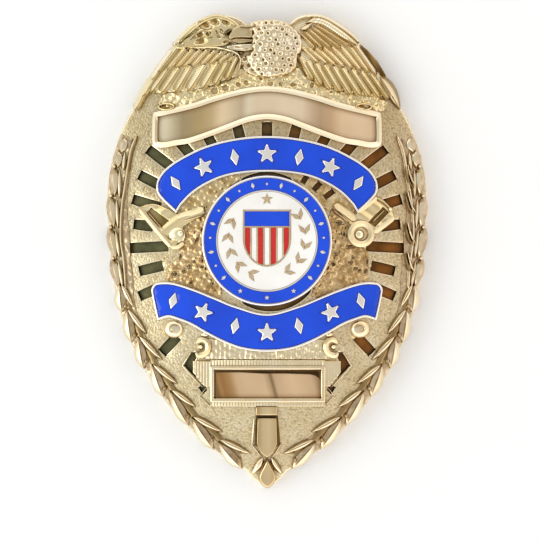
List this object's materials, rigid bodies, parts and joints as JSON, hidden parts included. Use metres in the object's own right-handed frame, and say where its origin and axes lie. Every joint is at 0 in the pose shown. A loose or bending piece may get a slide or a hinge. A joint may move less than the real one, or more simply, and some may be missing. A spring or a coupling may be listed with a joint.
{
  "type": "shield badge",
  "caption": "Domed gold shield badge with an eagle, laurel border, sunburst, two blue enamel ribbons, a round enamelled seal and blank panels.",
  "frame": {"origin": "middle of the outline, on the plane of the flat back rim that the badge lies on", "axes": "+Z out of the badge's face, +Y toward the eagle and up when it is worn, +X to the right of who looks at the face"},
  "size_m": [0.0512, 0.0762, 0.0091],
  "materials": {
    "gold": "gold plated, polished relief over a stippled ground",
    "blue_enamel": "glossy",
    "white_enamel": "glossy",
    "red_enamel": "glossy"
  },
  "bodies": {
    "root": {"shield": "gold", "upper_ribbon_enamel": "blue_enamel", "lower_ribbon_enamel": "blue_enamel", "seal_disc": "gold", "seal_ring_enamel": "blue_enamel", "seal_field_enamel": "white_enamel", "seal_chief_enamel": "blue_enamel", "pin_back": "gold", "seal_red_pale_1": "red_enamel", "seal_red_pale_2": "red_enamel", "seal_red_pale_3": "red_enamel", "seal_red_pale_4": "red_enamel", "seal_white_pale_1": "white_enamel", "seal_white_pale_2": "white_enamel", "seal_white_pale_3": "white_enamel"}
  },
  "joints": []
}
